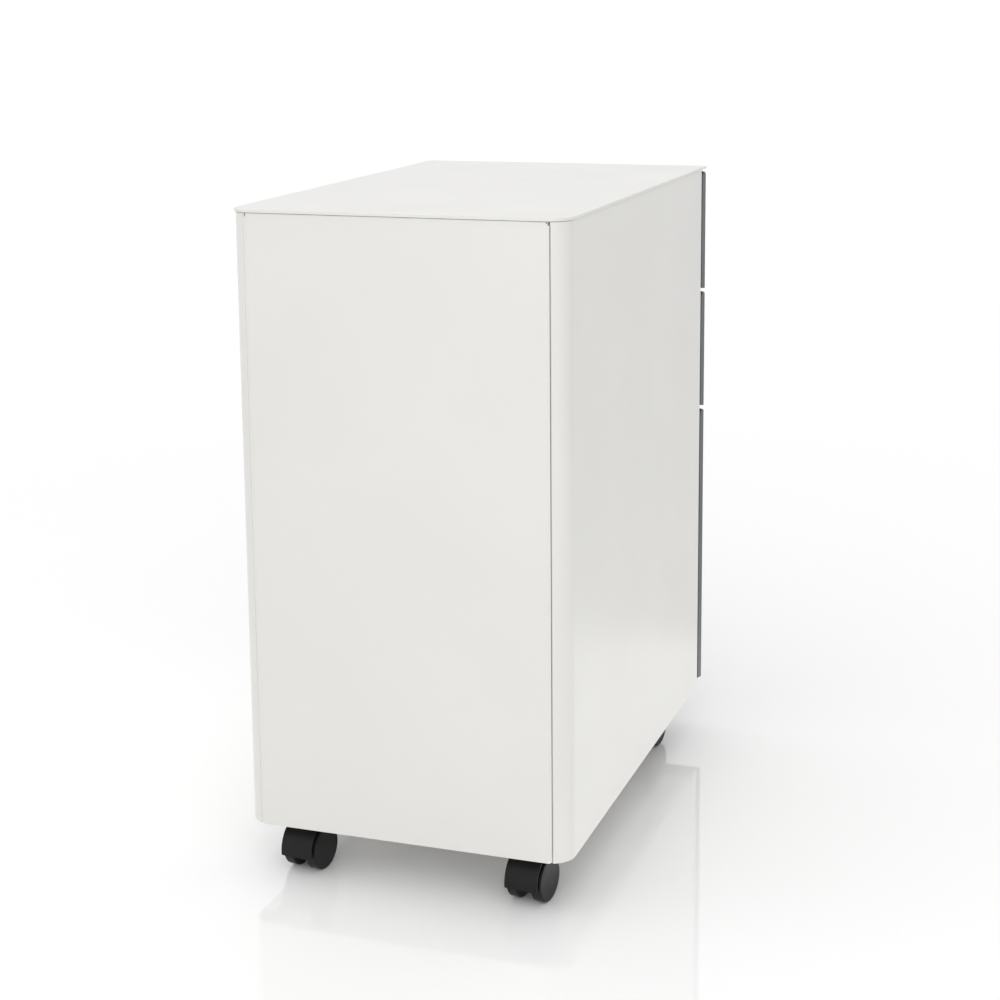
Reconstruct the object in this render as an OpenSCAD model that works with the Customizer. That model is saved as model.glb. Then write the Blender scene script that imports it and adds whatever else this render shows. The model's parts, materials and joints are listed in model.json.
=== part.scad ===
// Slim mobile filing cabinet: steel carcass, three drawers on telescopic runners, four twin-wheel casters.
// The front faces -Y, +Z is up, and the origin is on the floor under the middle of the bounding box.
// "Left" and "right" are those of a person standing in front of the drawers, so left is -X.

/* [Carcass] */
// Width of the carcass and of the drawer fronts
body_w = 300; // [290:1:340]
// Height of the side panels
body_h = 547; // [540:1:600]
// Depth of the side panels, without the drawer fronts
body_d = 469; // [460:1:560]
// Height of the carcass's lower edge above the floor
floor_gap = 48; // [47:1:52]
// Thickness of the sheet steel
sheet = 1; // [0.8:0.1:1.2]
// Outer radius of the two vertical rear corners
corner_r = 21; // [19:1:26]
// Distance from a side's outer face to the seam beside the back panel
seam_in = 15.6; // [15:0.1:17]
// Width of the seam at its bottom
seam_w = 1; // [0.6:0.1:1.5]
// Outer radius of a tight sheet bend
bend_r = 1.6; // [1.4:0.1:2.5]

/* [Top plate] */
// Thickness of the top plate
plate_t = 3; // [2.5:0.5:4]
// Overhang of the top plate at the sides and the rear
plate_over = 1.5; // [1:0.5:3]
// Radius of the plate's front corners
plate_front_r = 4; // [2:1:10]
// Height of the shadow gap under the plate's rim
shadow_h = 0.6; // [0.4:0.1:1]
// Depth of the shadow gap, from the carcass's outer face
shadow_d = 0.8; // [0.5:0.1:0.9]

/* [Drawers] */
// Depth of a drawer front, from its outer face to the carcass
front_t = 17.5; // [16:0.5:20]
// Gap between drawer fronts
front_gap = 2; // [2:0.5:5]
// Height of the two upper drawer fronts
low_front_h = 121.5; // [116:0.5:130]
// Height of the open grip channel behind each front's top lip
grip_h = 8; // [6:1:12]
// Drop of the sloped lip towards the outer face
lip_drop = 2.5; // [1.5:0.5:4]
// Rise of a front's foot from its outer face to its back
foot_rise = 3; // [1:0.5:5]
// How far a drawer pulls out
travel = 400; // [300:10:400]

/* [Casters] */
// Diameter of a caster wheel
wheel_d = 40; // [36:1:42]
// Overall width of a twin-wheel caster
caster_w = 33.5; // [32:0.5:38]
// Distance of the left kingpins from the cabinet's middle plane
kingpin_left = 110; // [90:1:112]
// Distance of the right kingpins from the cabinet's middle plane
kingpin_right = 101; // [90:1:112]
// Distance of the kingpins from the carcass's middle, front to rear
kingpin_y = 189.5; // [150:0.5:190]
// Distance from the kingpin to the wheels' axle
trail = 14; // [12:0.5:16]
// How far the casters are swivelled from pointing straight back
caster_turn = -7.5; // [-45:0.5:45]

/* [Hidden] */
$fn = 64;
carcass_white = "#e6e5e2";
front_grey = "#75787a";
zinc = "silver";
caster_black = "#2c2c2e";
steel = "lightsteelblue";

// Overall box: the plate overhangs the rear and ends flush with the drawer fronts.
total_d = body_d + front_t + plate_over;
face_y = -total_d / 2;
rear_y = total_d / 2 - plate_over;
body_y = rear_y - body_d;
side_x = body_w / 2;
body_top = floor_gap + body_h;
mid_y = (rear_y + body_y) / 2;

// Carcass details
flange_w = 16;
lip_d = 25;
return_d = 12;
base_z = 58;
base_t = 1.2;
base_flange = 10;
post_x = side_x - flange_w;
rail_h = 22;
rail_d = 24;
upright_d = 35;
upright_top = body_top - 8;
relief = 1.2;

// The side panel's rear corner turns until the straight land after it leads into the return beside the seam.
corner_land = 0.4;
fold_arm = corner_r - bend_r;
corner_turn = acos((fold_arm - (seam_in - seam_w / 2 - 2 * bend_r)) / norm([fold_arm, corner_land]))
    - atan(corner_land / fold_arm);

// Telescopic runners: u is measured from the post towards the tray.
runner_t = 12.7;
runner_l = travel;
runner_h = 35;
runner_sheet = 1.2;
runner_play = 1;
runner_step = runner_sheet + runner_play;
runner_tip = runner_t - runner_step;
runner_y = body_y + 2.5;
tray_x = post_x - runner_t;

// Drawers: [name, lower edge and height of the front, lower edge and height of the tray, middle of the runners]
top_gap = 2;
front_1_z = body_top - top_gap - low_front_h;
front_2_z = front_1_z - front_gap - low_front_h;
front_3_z = floor_gap + 3.5;
front_3_h = front_2_z - front_gap - front_3_z;
tray_low_h = 60;
tray_tall_h = 232;
drawers = [
    ["top_drawer", front_1_z, low_front_h, front_1_z + 14, tray_low_h, front_1_z + 35],
    ["middle_drawer", front_2_z, low_front_h, front_2_z + 14, tray_low_h + 15, front_2_z + 35],
    ["file_drawer", front_3_z, front_3_h, front_3_z + 18, tray_tall_h, front_3_z + 50]
];
back_gap = 3;
front_back_y = body_y - back_gap;
front_depth = front_back_y - face_y;
grip_w = 6.5;
cap_notch = [3.5, 3];
lip_run = front_depth - grip_w - sheet;
slope = atan(lip_drop / (lip_run + sheet));
tray_d = runner_l + 20;
tray_sheet = 1;
hem_gap = 2;
rail_spacing = 330;
file_rail_h = 14;
file_rail_t = 2;
file_rail_y = 40;

// Cam lock in the top drawer's front
lock_x = 118;
lock_z = body_top - 33.5;
barrel_r = 9;
barrel_l = front_depth + back_gap + 5;
plug_r = 6;
play = 0.05;
key_w = 1.6;
key_h = 7;
key_depth = 12;
cam_l = 18;
cam_w = 9;
cam_t = 2;
plug_tail = 3.2;

// Casters
wheel_r = wheel_d / 2;
axle_r = 3;
web_t = 12;
wheel_in = web_t / 2 + 0.5;
edge_r = 1;
cap_t = 1.8;
hood_gap = 3.5;
hood_t = 1.5;
hood_r = wheel_r + hood_gap + hood_t;
hood_rear = -8.5;
hood_front = 145;
hood_half = caster_w / 2 - 1.3;
hub_r = 7;
boss_r = 9;
boss_low = 30;
boss_top = base_z - 2.4;
pin_r = 4;
pin_low = 41;
pin_room = 0.5;
plate_w = 38;
caster_plate_t = 2;
hole_pitch = 28;
hole_r = 2.2;
screw_r = 2;
screw_head_r = 4;
screw_head_t = 1.6;
casters = [
    for (y = [1, -1], x = [-1, 1])
    [
        str(y > 0 ? "rear" : "front", x < 0 ? "_left" : "_right", "_caster"),
        x < 0 ? -kingpin_left : kingpin_right,
        mid_y + y * kingpin_y
    ]
];

carcass_nodes = [
    "top_panel", "left_side_panel", "right_side_panel", "back_panel", "base_panel", "front_top_rail",
    "left_rear_upright", "right_rear_upright", "caster_screws"
];
drawer_parts = [
    "_front", "_tray", "_left_cabinet_runner", "_right_cabinet_runner", "_left_middle_runner",
    "_right_middle_runner", "_left_drawer_runner", "_right_drawer_runner"
];
caster_parts = ["_plate", "_hood", "_axle", "_left_wheel", "_right_wheel"];

// ---------- shared shapes ----------

// Part of a disc: turns clockwise from the -X direction.
module wedge(r, turn) {
    steps = 8;
    polygon(concat(
        [[0, 0]],
        [for (i = [0 : steps]) 2 * r * [-cos(i * turn / steps), sin(i * turn / steps)]]
    ));
}

// Folded sheet seen on edge. It starts at the origin, heads +Y, and its thickness lies to the right.
// Each fold is [straight run, angle turned to the right, outer radius].
module folded(folds, t, i = 0) {
    if (i < len(folds)) {
        run = folds[i][0];
        turn = folds[i][1];
        r = folds[i][2];
        if (run > 0) square([t, run]);
        translate([0, run]) {
            if (turn > 0) {
                translate([r, 0]) {
                    intersection() {
                        difference() {
                            circle(r);
                            circle(r - t);
                        }
                        wedge(r, turn);
                    }
                    rotate(-turn) translate([-r, 0]) folded(folds, t, i + 1);
                }
            }
        }
    }
}

// Box given by its lowest and highest corners
module block(low, high) {
    translate(low) cube(high - low);
}

// ---------- carcass ----------

// Plan of the top plate, drawn in from its full size by inset
module plate_outline(inset = 0) {
    x = side_x + plate_over - inset;
    y = total_d / 2 - inset;
    rear_r = corner_r + plate_over - inset;
    front_r = plate_front_r - inset;
    difference() {
        square([2 * x, 2 * y], center = true);
        for (s = [-1, 1]) {
            corner_cut(s * x, y, -s, -1, rear_r);
            corner_cut(s * x, -y, -s, 1, front_r);
        }
    }
}

// What rounding a corner takes away; sx and sy point from the corner into the shape
module corner_cut(x, y, sx, sy, r) {
    cx = x + sx * r;
    cy = y + sy * r;
    difference() {
        translate([min(cx, x - sx), min(cy, y - sy)]) square(r + 1);
        translate([cx, cy]) circle(r);
    }
}

module top_panel() {
    inset = plate_over + shadow_d;
    color(carcass_white) {
        translate([0, 0, body_top]) linear_extrude(shadow_h) plate_outline(inset);
        translate([0, 0, body_top + shadow_h]) linear_extrude(plate_t - shadow_h) plate_outline();
    }
}

// The left one in plan: lip, front flange, side, rear corner and return, folded from one sheet
module side_plan() {
    translate([-post_x, body_y + lip_d]) rotate(180) folded([
        [lip_d - bend_r, 90, bend_r],
        [flange_w - 2 * bend_r, 90, bend_r],
        [body_d - bend_r - corner_r, corner_turn, corner_r],
        [corner_land, 180 - corner_turn, bend_r],
        [return_d, 0, 0]
    ], sheet);
}

module side_panel() {
    hem_w = flange_w - 4;
    translate([0, 0, floor_gap]) linear_extrude(body_h) side_plan();
    for (z = [floor_gap, body_top - sheet])
        block(
            [-side_x + sheet / 2, body_y + lip_d + 2, z],
            [-side_x + hem_w, rear_y - corner_r - 2, z + sheet]
        );
}

module left_side_panel() {
    color(carcass_white) side_panel();
}

module right_side_panel() {
    color(carcass_white) mirror([1, 0, 0]) side_panel();
}

// A pan with its side edges folded in, and a relief notch where each fold meets the top plate
module back_panel() {
    edge_x = side_x - seam_in - seam_w / 2;
    fold_d = 10;
    notch = [2 * relief, 3 * relief, 2 * relief];
    color(carcass_white) difference() {
        translate([0, 0, floor_gap]) linear_extrude(body_h)
            translate([-edge_x, rear_y - fold_d]) folded([
                [fold_d - bend_r, 90, bend_r],
                [2 * edge_x - 2 * bend_r, 90, bend_r],
                [fold_d - bend_r, 0, 0]
            ], sheet);
        for (s = [-1, 1])
            translate([s * edge_x, rear_y, body_top]) cube(notch, center = true);
    }
}

module base_panel() {
    wide = side_x - sheet;
    narrow = side_x - seam_in - seam_w / 2 - sheet - 1;
    front = body_y + sheet;
    rear = rear_y - sheet;
    color(carcass_white) difference() {
        union() {
            block([-wide, body_y + lip_d + 1, base_z], [wide, rear_y - corner_r - 1, base_z + base_t]);
            block([-narrow, front, base_z], [narrow, rear, base_z + base_t]);
            block([-narrow, front, base_z], [narrow, front + base_t, base_z + base_flange]);
            block([-narrow, rear - base_t, base_z], [narrow, rear, base_z + base_flange]);
        }
        for (c = casters) at_screws(c) translate([0, 0, base_z - 1]) cylinder(r = hole_r, h = base_t + 2);
    }
}

// Upside-down channel behind the top edge of the top drawer's front
module front_top_rail() {
    front = body_y + sheet;
    rear_flange = 10;
    color(carcass_white) {
        block([-post_x, front, body_top - sheet], [post_x, front + rail_d, body_top]);
        block([-post_x, front, body_top - rail_h], [post_x, front + sheet, body_top]);
        block([-post_x, front + rail_d - sheet, body_top - rear_flange], [post_x, front + rail_d, body_top]);
    }
}

// The left one: a channel that stands on the base, open towards the side panel
module rear_upright() {
    y = runner_y + runner_l - upright_d;
    low = base_z + base_t;
    difference() {
        block([-side_x + sheet, y, low], [-post_x, y + upright_d, upright_top]);
        block([-side_x, y + sheet, low - 1], [-post_x - sheet, y + upright_d - sheet, upright_top + 1]);
    }
}

module left_rear_upright() {
    color(zinc) rear_upright();
}

module right_rear_upright() {
    color(zinc) mirror([1, 0, 0]) rear_upright();
}

// ---------- telescopic runners ----------

// Channel on the left side, at the height z. Its web starts at u_web, and its flanges reach to u_tip.
module channel(z, u_web, u_tip, height) {
    low_u = min(u_web, u_tip);
    high_u = max(u_web + runner_sheet, u_tip);
    translate([-post_x, runner_y, z - height / 2]) {
        block([u_web, 0, 0], [u_web + runner_sheet, runner_l, height]);
        for (low = [0, height - runner_sheet]) block([low_u, 0, low], [high_u, runner_l, low + runner_sheet]);
    }
}

module cabinet_runner(z) {
    color(zinc) channel(z, 0, runner_tip, runner_h);
}

module middle_runner(z) {
    color(zinc) channel(z, runner_step, runner_tip, runner_h - 2 * runner_step);
}

module drawer_runner(z) {
    color(zinc) channel(z, runner_t - runner_sheet, 2 * runner_step, runner_h - 4 * runner_step);
}

// Sets a runner drawn for the left side on the side that is named.
module on_side(side) {
    mirror([side == "_right" ? 1 : 0, 0, 0]) children();
}

// ---------- drawers ----------

// Height of a front's foot at a distance behind the outer face
function foot(x) = foot_rise * x / front_depth;

// Outline of a drawer front seen from its end: (distance behind the outer face, height above its lower edge).
// The lip and the foot slope down to the outer face.
// The notch, [width, height], is cut from the inner top corner.
module front_outline(h, notch) {
    difference() {
        polygon([
            [0, 0], [front_depth, foot_rise], [front_depth, h], [lip_run + sheet, h], [0, h - lip_drop]
        ]);
        translate([front_depth - notch[0], h - notch[1]]) square(notch + [1, 1]);
        corner_cut(0, 0, 1, 1, bend_r);
        lip_round(h - lip_drop, bend_r);
    }
}

// What rounding takes away where the outer face meets the sloped lip
module lip_round(corner_h, r) {
    centre_h = corner_h + r * tan(slope) - r / cos(slope);
    touch = [r * (1 - sin(slope)), centre_h + r * cos(slope)];
    difference() {
        polygon([
            [-1, centre_h], [r, centre_h], touch, touch + [-sin(slope), cos(slope)], [-1, corner_h + 1]
        ]);
        translate([r, centre_h]) circle(r);
    }
}

// The hollow inside a drawer front, with the open hem along the foot of its inner skin
module front_hollow(h) {
    inner = front_depth - sheet;
    polygon([
        [sheet, foot(sheet) + sheet], [inner, foot(inner) + sheet], [inner, h - grip_h - sheet],
        [lip_run, h - grip_h - sheet], [lip_run, h - 2 * sheet], [sheet, h - 2 * sheet - lip_drop]
    ]);
    translate([inner - 1, foot(inner) + sheet]) square([sheet + 2, hem_gap]);
}

// Sweeps a section drawn as (distance behind the outer face, height) along X.
module along_x(x, length) {
    translate([x, face_y, 0]) rotate([90, 0, 90]) linear_extrude(length) children();
}

module drawer_front(d) {
    h = d[2];
    color(front_grey) translate([0, 0, d[1]]) {
        along_x(-side_x, body_w) difference() {
            front_outline(h, [grip_w, grip_h]);
            front_hollow(h);
        }
        for (x = [-side_x, side_x - sheet]) along_x(x, sheet) front_outline(h, cap_notch);
    }
}

module top_drawer_front() {
    color(front_grey) difference() {
        drawer_front(drawers[0]);
        along_lock(-1, front_depth + 2) circle(barrel_r);
    }
}

module drawer_tray(d) {
    low = [-tray_x, front_back_y, d[3]];
    high = [tray_x, front_back_y + tray_d, d[3] + d[4]];
    wall = [tray_sheet, tray_sheet, tray_sheet];
    color(zinc) difference() {
        block(low, high);
        block(low + wall, [high[0] - tray_sheet, high[1] - tray_sheet, high[2] + 1]);
    }
}

// Cross bar that files hang from; its ends hook over the tray's walls.
module file_rail(y) {
    d = drawers[2];
    top = d[3] + d[4];
    hook = [2 * tray_sheet, 4 * file_rail_t, file_rail_h];
    color(zinc) difference() {
        block([-tray_x, y, top - file_rail_h + file_rail_t], [tray_x, y + file_rail_t, top + file_rail_t]);
        for (s = [-1, 1]) translate([s * tray_x, y, top - file_rail_h / 2]) cube(hook, center = true);
    }
}

module front_file_rail() {
    file_rail(front_back_y + file_rail_y);
}

module rear_file_rail() {
    file_rail(front_back_y + file_rail_y + rail_spacing);
}

// ---------- cam lock ----------

// Sweeps a section drawn about the lock's axis, from a distance behind the outer face.
module along_lock(start, length) {
    translate([lock_x, face_y + start, lock_z]) rotate([90, 0, 0]) translate([0, 0, -length])
        linear_extrude(length) children();
}

module lock_barrel() {
    color("silver") along_lock(0, barrel_l) difference() {
        circle(barrel_r);
        circle(plug_r + play);
    }
}

// Turning plug with its key slot and the square tail that carries the cam
module lock_plug() {
    recess = 0.4;
    color("silver") difference() {
        union() {
            along_lock(recess, barrel_l - recess) circle(plug_r);
            along_lock(barrel_l, cam_t) square(2 * plug_tail, center = true);
        }
        along_lock(recess - 1, key_depth + 1) square([key_w, key_h], center = true);
    }
}

// Lever that points sideways when unlocked and stands up behind the top rail when locked
module lock_cam() {
    color(zinc) along_lock(barrel_l, cam_t) difference() {
        union() {
            circle(cam_w / 2 + 1);
            translate([-cam_l, -cam_w / 2]) square([cam_l, cam_w]);
        }
        square(2 * plug_tail, center = true);
    }
}

// ---------- casters ----------
// Each is drawn with its kingpin on the Z axis, its axle along X and its wheels trailing towards +Y.

module at_caster(c) {
    translate([c[1], c[2], 0]) children();
}

module at_screws(c) {
    at_caster(c) for (x = [-1, 1], y = [-1, 1])
        translate([x * hole_pitch / 2, y * hole_pitch / 2, 0]) children();
}

// Turns a section drawn as (radius, place along the axle) about the axle.
module about_axle() {
    translate([0, trail, wheel_r]) rotate([90, 0, 90]) rotate_extrude() children();
}

// Extrudes a section drawn about the axle as (towards +Y, up), between two places along the axle.
module along_axle(low, high) {
    translate([low, trail, wheel_r]) rotate([90, 0, 90]) linear_extrude(high - low) children();
}

module caster_plate(c) {
    plate_low = base_z - caster_plate_t;
    pin_top = base_z - caster_plate_t / 2;
    color(zinc) {
        difference() {
            at_caster(c) translate([-plate_w / 2, -plate_w / 2, plate_low])
                cube([plate_w, plate_w, caster_plate_t]);
            at_screws(c) translate([0, 0, plate_low - 1]) cylinder(r = hole_r, h = caster_plate_t + 2);
        }
        at_caster(c) translate([0, 0, pin_low]) cylinder(r = pin_r, h = pin_top - pin_low);
    }
}

// Round hood: fender over both treads, web between the wheels, hub and kingpin boss
module caster_hood() {
    color(caster_black) difference() {
        union() {
            along_axle(-hood_half, hood_half) intersection() {
                circle(hood_r);
                intersection_for(turn = [hood_rear, hood_front - 180])
                    rotate(turn) translate([-wheel_d, 0]) square([2 * wheel_d, wheel_d]);
            }
            along_axle(-web_t / 2, web_t / 2) circle(hub_r);
            translate([0, 0, boss_low]) cylinder(r = boss_r, h = boss_top - boss_low);
        }
        for (low = [-hood_half - 1, web_t / 2])
            along_axle(low, low + hood_half + 1 - web_t / 2) circle(wheel_r + hood_gap);
        translate([0, 0, pin_low - pin_room]) cylinder(r = pin_r + play, h = boss_top);
        along_axle(-web_t, web_t) circle(axle_r);
    }
}

module caster_axle() {
    half = caster_w / 2 - cap_t - pin_room;
    color(steel) along_axle(-half, half) circle(axle_r);
}

// The right one, closed over the axle's end by its outer face
module caster_wheel() {
    out = caster_w / 2;
    color(caster_black) about_axle() polygon([
        [axle_r + play, wheel_in], [wheel_r - edge_r, wheel_in], [wheel_r, wheel_in + edge_r],
        [wheel_r, out - edge_r], [wheel_r - edge_r, out], [0, out], [0, out - cap_t], [axle_r + play, out - cap_t]
    ]);
}

// Sets a caster's turning pieces on its kingpin, swivelled as at rest.
module swivelled(c) {
    at_caster(c) rotate(caster_turn) children();
}

// Screws that hold the caster plates to the base, heads below
module caster_screws() {
    plate_low = base_z - caster_plate_t;
    shank = caster_plate_t + base_t + 3;
    color("silver") for (c = casters) at_screws(c) {
        translate([0, 0, plate_low - screw_head_t]) cylinder(r = screw_head_r, h = screw_head_t);
        translate([0, 0, plate_low - screw_head_t / 2]) cylinder(r = screw_r, h = shank + screw_head_t / 2);
    }
}

// ---------- the model ----------

top_panel();
left_side_panel();
right_side_panel();
back_panel();
base_panel();
front_top_rail();
left_rear_upright();
right_rear_upright();
caster_screws();
for (d = drawers) {
    drawer_tray(d);
    for (side = ["_left", "_right"]) {
        on_side(side) cabinet_runner(d[5]);
        on_side(side) middle_runner(d[5]);
        on_side(side) drawer_runner(d[5]);
    }
}
top_drawer_front();
drawer_front(drawers[1]);  // middle_drawer_front
drawer_front(drawers[2]);  // file_drawer_front
front_file_rail();
rear_file_rail();
lock_barrel();
lock_plug();
lock_cam();
for (c = casters) {
    caster_plate(c);
    swivelled(c) caster_hood();
    swivelled(c) caster_axle();
    swivelled(c) caster_wheel();
    swivelled(c) mirror([1, 0, 0]) caster_wheel();
}
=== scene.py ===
import json
import math

import bmesh
import bpy
from mathutils import Euler, Matrix, Vector


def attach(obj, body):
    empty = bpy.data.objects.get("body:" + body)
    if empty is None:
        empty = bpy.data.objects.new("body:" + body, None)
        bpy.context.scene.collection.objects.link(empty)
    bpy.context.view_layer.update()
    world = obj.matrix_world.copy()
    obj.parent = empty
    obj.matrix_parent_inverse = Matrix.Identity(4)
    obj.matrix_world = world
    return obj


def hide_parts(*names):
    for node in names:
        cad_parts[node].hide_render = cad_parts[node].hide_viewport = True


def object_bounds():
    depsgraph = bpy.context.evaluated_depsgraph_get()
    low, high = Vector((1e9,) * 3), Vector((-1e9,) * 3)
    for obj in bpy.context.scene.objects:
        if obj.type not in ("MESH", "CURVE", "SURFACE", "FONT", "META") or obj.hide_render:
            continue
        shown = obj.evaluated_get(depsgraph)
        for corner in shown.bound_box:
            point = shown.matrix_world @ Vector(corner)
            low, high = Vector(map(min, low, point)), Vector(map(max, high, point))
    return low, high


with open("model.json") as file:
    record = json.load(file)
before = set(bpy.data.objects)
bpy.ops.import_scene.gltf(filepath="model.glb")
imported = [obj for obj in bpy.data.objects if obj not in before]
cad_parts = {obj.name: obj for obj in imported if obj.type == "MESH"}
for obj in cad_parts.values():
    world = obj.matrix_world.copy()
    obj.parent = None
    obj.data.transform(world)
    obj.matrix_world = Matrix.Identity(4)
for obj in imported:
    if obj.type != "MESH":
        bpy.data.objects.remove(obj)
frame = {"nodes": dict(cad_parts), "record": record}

CAD_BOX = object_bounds()
NODES = frame["nodes"]
BODY_OF = {node: body for body, nodes in frame["record"]["behaviour"]["bodies"].items() for node in nodes}
SLOT_OF = {part["node"]: part["material_slot"] for part in frame["record"]["subparts"]}
MM = 0.001


# ---------- camera, light and floor ----------

# Where the camera stands and looks: metres and degrees, yaw clockwise from +Y seen from above.
CAMERA_PLACE = (-0.6130, 1.7544, 0.7815)
CAMERA_YAW = 160.42
CAMERA_PITCH = 10.43
CAMERA_ROLL = 0.62
CAMERA_LENS = 71.8
CAMERA_SHIFT = (0.0205, -0.1474)

# The studio dome's radiance at the horizon and overhead
HORIZON_LIGHT = 1.18
ZENITH_LIGHT = 1.04
# The grey screen on the dome's -X side: the share of light it leaves, and the spans of X and Z over which its
# edge fades, as a direction seen from the middle
SCREEN_SHARE = 0.05
SCREEN_SIDE = (-0.95, -0.25)
SCREEN_FOOT = (0.10, 0.22)
# Lamps: name, place, aim and size in metres, watts, and whether glossy surfaces show the lamp
LAMPS = (
    ("key_box", (-1.1, 3.0, 2.0), (0, 0.2, 0.2), (4.0, 3.0), 33, True),
    ("corner_box", (-0.88, 0.78, 0.5), (-0.14, 0.24, 0.35), (0.35, 0.9), 0.8, False),
    ("floor_panel", (-0.65, -0.1, 0.003), (-0.65, -0.1, 1), (1.0, 0.8), 1.2, True),
)
FLOOR_REACH = 80
FLOOR_SHADE = 0.96
FLOOR_GLOSS = 0.05

# Rounding of sharp edges: how near two points are one, how flat is flat, and how sharp is an edge
WELD = 0.002 * MM
FLAT = math.radians(0.5)
SHARP = math.radians(28)
ROUND_STEPS = 3

# The beads of paint in the two seams: distance from the middle, half width, thickness, sag, depth below the
# model's rear, height of the lower end, distance of the upper end from the top, strips in the hollow face
SEAM_X = 134.4 * MM
SEAM_REACH = 0.95 * MM
SEAM_THICK = 0.3 * MM
SEAM_SAG = 0.15 * MM
SEAM_DEPTH = 2 * MM
SEAM_FOOT = 49 * MM
SEAM_HEAD = 6 * MM
SEAM_STEPS = 6


def make_camera():
    data = bpy.data.cameras.new("camera")
    data.lens = CAMERA_LENS
    data.sensor_width = 36
    data.shift_x, data.shift_y = CAMERA_SHIFT
    data.clip_start, data.clip_end = 0.05, 50
    camera = bpy.data.objects.new("camera", data)
    level = Euler((math.radians(90 - CAMERA_PITCH), 0, math.radians(-CAMERA_YAW))).to_matrix()
    turn = level @ Matrix.Rotation(math.radians(-CAMERA_ROLL), 3, "Z")
    camera.matrix_world = Matrix.Translation(CAMERA_PLACE) @ turn.to_4x4()
    bpy.context.scene.collection.objects.link(camera)
    bpy.context.scene.camera = camera


def make_lamp(name, place, aim, size, watts, mirrored):
    """A white panel lamp that the camera doesn't see."""
    data = bpy.data.lights.new(name, "AREA")
    data.shape = "RECTANGLE"
    data.size, data.size_y = size
    data.energy = watts
    light = bpy.data.objects.new(name, data)
    direction = Vector(aim) - Vector(place)
    light.matrix_world = Matrix.Translation(place) @ direction.to_track_quat("-Z", "Y").to_matrix().to_4x4()
    light.visible_camera = False
    light.visible_glossy = mirrored
    bpy.context.scene.collection.objects.link(light)


def make_world():
    """A white studio dome, with a grey screen above the horizon on the -X side to shade the left panel."""
    world = bpy.data.worlds.new("studio")
    world.use_nodes = True
    tree = world.node_tree
    background = tree.nodes["Background"]
    coords = tree.nodes.new("ShaderNodeTexCoord")
    split = tree.nodes.new("ShaderNodeSeparateXYZ")
    tree.links.new(coords.outputs["Generated"], split.inputs["Vector"])
    dome = spread(tree, split.outputs["Z"], HORIZON_LIGHT, ZENITH_LIGHT, 0, 1)
    screen = spread(tree, split.outputs["Z"], 1, SCREEN_SHARE, *SCREEN_FOOT)
    beside = spread(tree, split.outputs["X"], 0, 1, *SCREEN_SIDE)
    share = tree.nodes.new("ShaderNodeMix")
    share.inputs["B"].default_value = 1
    tree.links.new(beside, share.inputs["Factor"])
    tree.links.new(screen, share.inputs["A"])
    both = tree.nodes.new("ShaderNodeMath")
    both.operation = "MULTIPLY"
    tree.links.new(dome, both.inputs[0])
    tree.links.new(share.outputs["Result"], both.inputs[1])
    tree.links.new(both.outputs["Value"], background.inputs["Strength"])
    background.inputs["Color"].default_value = (1, 1, 1, 1)
    bpy.context.scene.world = world


def make_floor():
    mesh = bpy.data.meshes.new("floor")
    outline = [(x * FLOOR_REACH, y * FLOOR_REACH, 0) for x, y in ((-1, -1), (1, -1), (1, 1), (-1, 1))]
    mesh.from_pydata(outline, [], [(0, 1, 2, 3)])
    floor = bpy.data.objects.new("floor", mesh)
    bpy.context.scene.collection.objects.link(floor)
    material, tree, shader = new_material("floor_gloss")
    shader.inputs["Base Color"].default_value = (FLOOR_SHADE, FLOOR_SHADE, FLOOR_SHADE, 1)
    shader.inputs["Roughness"].default_value = FLOOR_GLOSS
    mesh.materials.append(material)


# ---------- materials ----------


def new_material(name):
    material = bpy.data.materials.new(name)
    material.use_nodes = True
    tree = material.node_tree
    return material, tree, tree.nodes["Principled BSDF"]


def place_node(tree, stretch=(1, 1, 1)):
    """The object's own coordinates in metres, scaled along each axis."""
    coords = tree.nodes.new("ShaderNodeTexCoord")
    mapping = tree.nodes.new("ShaderNodeMapping")
    mapping.inputs["Scale"].default_value = stretch
    tree.links.new(coords.outputs["Object"], mapping.inputs["Vector"])
    return mapping.outputs["Vector"]


def noise(tree, place, scale, detail=2, roughness=0.5):
    node = tree.nodes.new("ShaderNodeTexNoise")
    node.inputs["Scale"].default_value = scale
    node.inputs["Detail"].default_value = detail
    node.inputs["Roughness"].default_value = roughness
    tree.links.new(place, node.inputs["Vector"])
    return node.outputs["Fac"]


def spread(tree, value, low, high, from_low=0.3, from_high=0.7):
    """Maps a pattern's usual span to the span low to high."""
    node = tree.nodes.new("ShaderNodeMapRange")
    node.inputs["From Min"].default_value = from_low
    node.inputs["From Max"].default_value = from_high
    node.inputs["To Min"].default_value = low
    node.inputs["To Max"].default_value = high
    tree.links.new(value, node.inputs["Value"])
    return node.outputs["Result"]


def shades(tree, value, dark, light):
    """Mixes two colours by a value from 0 to 1."""
    node = tree.nodes.new("ShaderNodeMix")
    node.data_type = "RGBA"
    node.inputs["A"].default_value = (*dark, 1)
    node.inputs["B"].default_value = (*light, 1)
    tree.links.new(value, node.inputs["Factor"])
    return node.outputs["Result"]


def bump(tree, height, depth, below=None):
    """Raises the surface by up to depth metres, over an earlier bump if one is given."""
    node = tree.nodes.new("ShaderNodeBump")
    node.inputs["Strength"].default_value = 1
    node.inputs["Distance"].default_value = depth
    tree.links.new(height, node.inputs["Height"])
    if below is not None:
        tree.links.new(below, node.inputs["Normal"])
    return node.outputs["Normal"]


def tinted(colour, factor):
    return tuple(min(1, c * factor) for c in colour)


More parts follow.
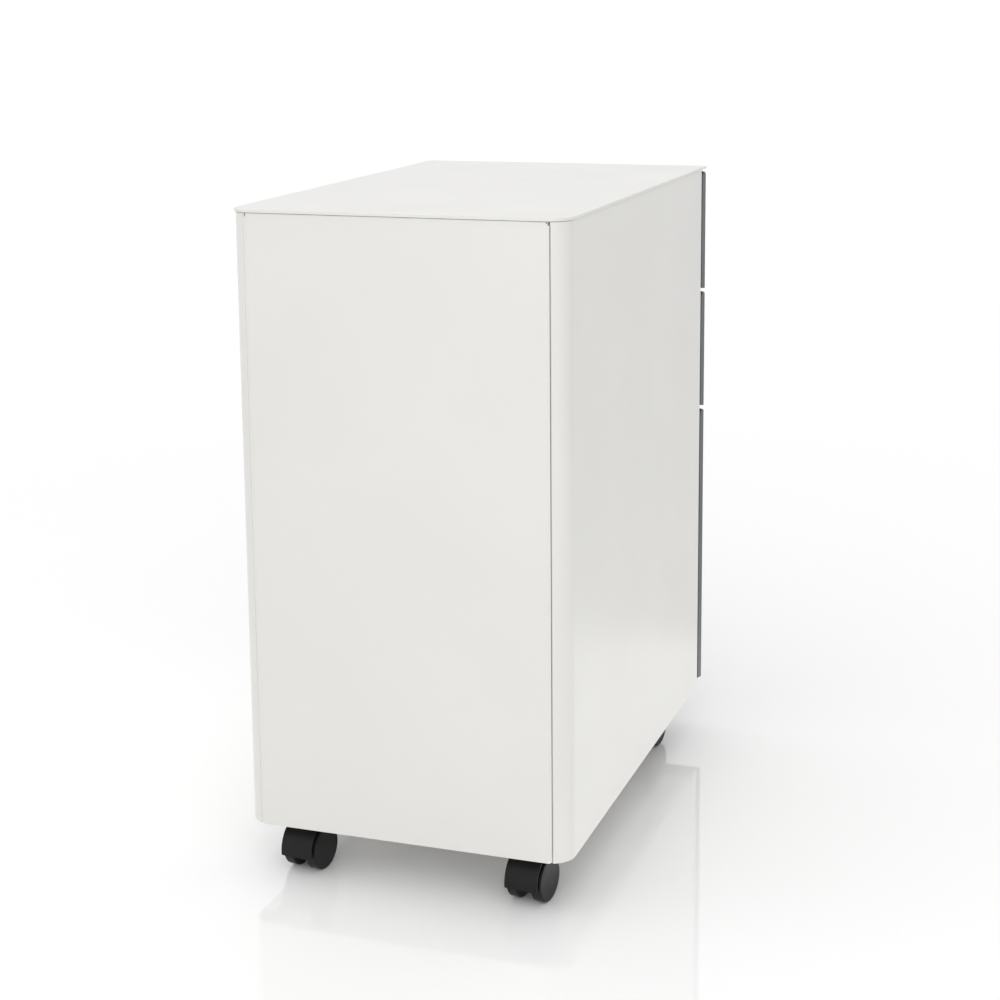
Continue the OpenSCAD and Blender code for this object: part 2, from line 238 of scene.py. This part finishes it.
def powder_coat(name, colour, gloss_low, gloss_high, grain=0.003 * MM, shine=0.5):
    """Satin powder coat: fine orange peel over slow waves, with faint cloudiness of shade and gloss."""
    material, tree, shader = new_material(name)
    place = place_node(tree)
    cloud = noise(tree, place, scale=7, detail=3)
    shade = shades(tree, spread(tree, cloud, 0, 1), tinted(colour, 0.985), tinted(colour, 1.012))
    tree.links.new(shade, shader.inputs["Base Color"])
    rub = noise(tree, place, scale=18, detail=1)
    tree.links.new(spread(tree, rub, gloss_low, gloss_high, 0, 1), shader.inputs["Roughness"])
    waves = bump(tree, noise(tree, place, scale=90, detail=1), depth=0.010 * MM)
    peel = bump(tree, noise(tree, place, scale=600, detail=1), depth=grain, below=waves)
    tree.links.new(peel, shader.inputs["Normal"])
    shader.inputs["Specular IOR Level"].default_value = shine
    return material


def galvanised(name):
    """Zinc sheet with its soft spangle."""
    material, tree, shader = new_material(name)
    place = place_node(tree)
    cells = tree.nodes.new("ShaderNodeTexVoronoi")
    cells.inputs["Scale"].default_value = 140
    tree.links.new(place, cells.inputs["Vector"])
    split = tree.nodes.new("ShaderNodeSeparateColor")
    tree.links.new(cells.outputs["Color"], split.inputs["Color"])
    facet = split.outputs["Red"]
    shade = shades(tree, facet, dark=(0.46, 0.47, 0.49), light=(0.66, 0.67, 0.69))
    tree.links.new(shade, shader.inputs["Base Color"])
    tree.links.new(spread(tree, facet, 0.32, 0.5, 0, 1), shader.inputs["Roughness"])
    pits = noise(tree, place, scale=400, detail=3)
    tree.links.new(bump(tree, pits, depth=0.01 * MM), shader.inputs["Normal"])
    shader.inputs["Metallic"].default_value = 1
    return material


def drawn_metal(name, dark, light, stretch, rough_low, rough_high):
    """Bright metal with fine lines; stretch is small along the lines."""
    material, tree, shader = new_material(name)
    lines = noise(tree, place_node(tree, stretch), scale=1, detail=4, roughness=0.65)
    tree.links.new(shades(tree, spread(tree, lines, 0, 1), dark, light), shader.inputs["Base Color"])
    tree.links.new(spread(tree, lines, rough_low, rough_high), shader.inputs["Roughness"])
    tree.links.new(bump(tree, lines, depth=0.008 * MM), shader.inputs["Normal"])
    shader.inputs["Metallic"].default_value = 1
    return material


def moulded_plastic(name, colour, gloss_low, gloss_high, grain):
    """Black nylon with a spark-eroded grain and slightly uneven gloss."""
    material, tree, shader = new_material(name)
    place = place_node(tree)
    smear = noise(tree, place, scale=60, detail=3, roughness=0.6)
    shade = shades(tree, spread(tree, smear, 0, 1), tinted(colour, 0.85), tinted(colour, 1.2))
    tree.links.new(shade, shader.inputs["Base Color"])
    tree.links.new(spread(tree, smear, gloss_low, gloss_high), shader.inputs["Roughness"])
    sparks = noise(tree, place, scale=1200, detail=1)
    tree.links.new(bump(tree, sparks, depth=grain), shader.inputs["Normal"])
    shader.inputs["Specular IOR Level"].default_value = 0.25
    return material


def make_materials():
    white = (0.70, 0.693, 0.668)
    grey = (0.084, 0.092, 0.100)
    black = (0.006, 0.006, 0.006)
    return {
        "carcass_paint": powder_coat("carcass_paint", white, 0.27, 0.35),
        "front_paint": powder_coat("front_paint", grey, 0.46, 0.54, grain=0.006 * MM, shine=0.36),
        "tray_paint": powder_coat("tray_paint", (0.60, 0.61, 0.61), 0.33, 0.42),
        "galvanised_steel": galvanised("galvanised_steel"),
        "runner_steel": drawn_metal(
            "runner_steel", (0.50, 0.51, 0.53), (0.72, 0.73, 0.75), (1500, 12, 1500), 0.22, 0.36),
        "zinc_screws": drawn_metal(
            "zinc_screws", (0.52, 0.53, 0.56), (0.74, 0.75, 0.78), (900, 900, 900), 0.25, 0.4),
        "axle_steel": drawn_metal(
            "axle_steel", (0.42, 0.42, 0.44), (0.62, 0.62, 0.64), (40, 2500, 2500), 0.18, 0.3),
        "lock_metal": drawn_metal(
            "lock_metal", (0.60, 0.60, 0.60), (0.78, 0.78, 0.79), (1200, 1200, 60), 0.12, 0.24),
        "caster_plastic": moulded_plastic("caster_plastic", black, 0.42, 0.55, grain=0.006 * MM),
        "wheel_plastic": moulded_plastic("wheel_plastic", black, 0.34, 0.46, grain=0.004 * MM),
    }


# ---------- the model ----------


def softened(node, width):
    """A copy of a CAD node with its sharp edges rounded; it stands for the node."""
    mesh = NODES[node].data.copy()
    mesh.name = node + "_rounded"
    work = bmesh.new()
    work.from_mesh(mesh)
    bmesh.ops.remove_doubles(work, verts=work.verts, dist=WELD)
    bmesh.ops.dissolve_limit(
        work, angle_limit=FLAT, verts=work.verts, edges=work.edges, delimit={"NORMAL"})
    edges = [e for e in work.edges if len(e.link_faces) == 2 and e.calc_face_angle(0) > SHARP]
    bmesh.ops.bevel(
        work, geom=edges, offset=width, offset_type="OFFSET", segments=ROUND_STEPS, profile=0.5,
        affect="EDGES", clamp_overlap=True)
    for face in work.faces:
        face.smooth = True
    work.to_mesh(mesh)
    work.free()
    piece = bpy.data.objects.new(mesh.name, mesh)
    bpy.context.scene.collection.objects.link(piece)
    normals = piece.modifiers.new("normals", "WEIGHTED_NORMAL")
    normals.keep_sharp = True
    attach(piece, BODY_OF[node])
    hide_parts(node)
    return piece


def edge_width(node):
    """How far a node's sharp edges are rounded: pressed, painted and moulded parts have no knife edges."""
    if node == "top_panel":
        return 1.2 * MM
    if node.endswith(("side_panel", "back_panel")):
        return 0.3 * MM
    if node.endswith("_front"):
        return 0.5 * MM
    if node.endswith("_hood"):
        return 0.35 * MM
    return 0


def seam_beads():
    """The powder coat that bridges the foot of each seam beside the back panel, just below the surface."""
    low, high = CAD_BOX[0][2] + SEAM_FOOT, CAD_BOX[1][2] - SEAM_HEAD
    rear = CAD_BOX[1][1] - SEAM_DEPTH
    for side, name in ((-1, "left"), (1, "right")):
        rings = []
        work = bmesh.new()
        for z in (low, high):
            ring = []
            for i in range(SEAM_STEPS + 1):
                t = 2 * i / SEAM_STEPS - 1
                sag = SEAM_SAG * (1 - t * t)
                ring.append(work.verts.new((side * SEAM_X + t * SEAM_REACH, rear - sag, z)))
            ring += [work.verts.new((v.co.x, v.co.y - SEAM_THICK, z)) for v in reversed(ring)]
            rings.append(ring)
        count = len(rings[0])
        for i in range(count):
            j = (i + 1) % count
            work.faces.new((rings[0][i], rings[0][j], rings[1][j], rings[1][i]))
        work.faces.new(rings[0])
        work.faces.new(rings[1])
        bmesh.ops.recalc_face_normals(work, faces=work.faces)
        mesh = bpy.data.meshes.new(name + "_seam_bead")
        work.to_mesh(mesh)
        work.free()
        bead = bpy.data.objects.new(mesh.name, mesh)
        bpy.context.scene.collection.objects.link(bead)
        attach(bead, "cabinet")
        yield bead


def paint(thing, material):
    thing.data.materials.clear()
    thing.data.materials.append(material)


def main():
    make_camera()
    bpy.context.scene.view_settings.view_transform = "Standard"
    make_world()
    make_floor()
    for lamp in LAMPS:
        make_lamp(*lamp)
    materials = make_materials()
    for name, thing in NODES.items():
        paint(thing, materials[SLOT_OF[name]])
    for bead in seam_beads():
        paint(bead, materials["carcass_paint"])
    for node in list(NODES):
        width = edge_width(node)
        if width:
            paint(softened(node, width), materials[SLOT_OF[node]])


main()
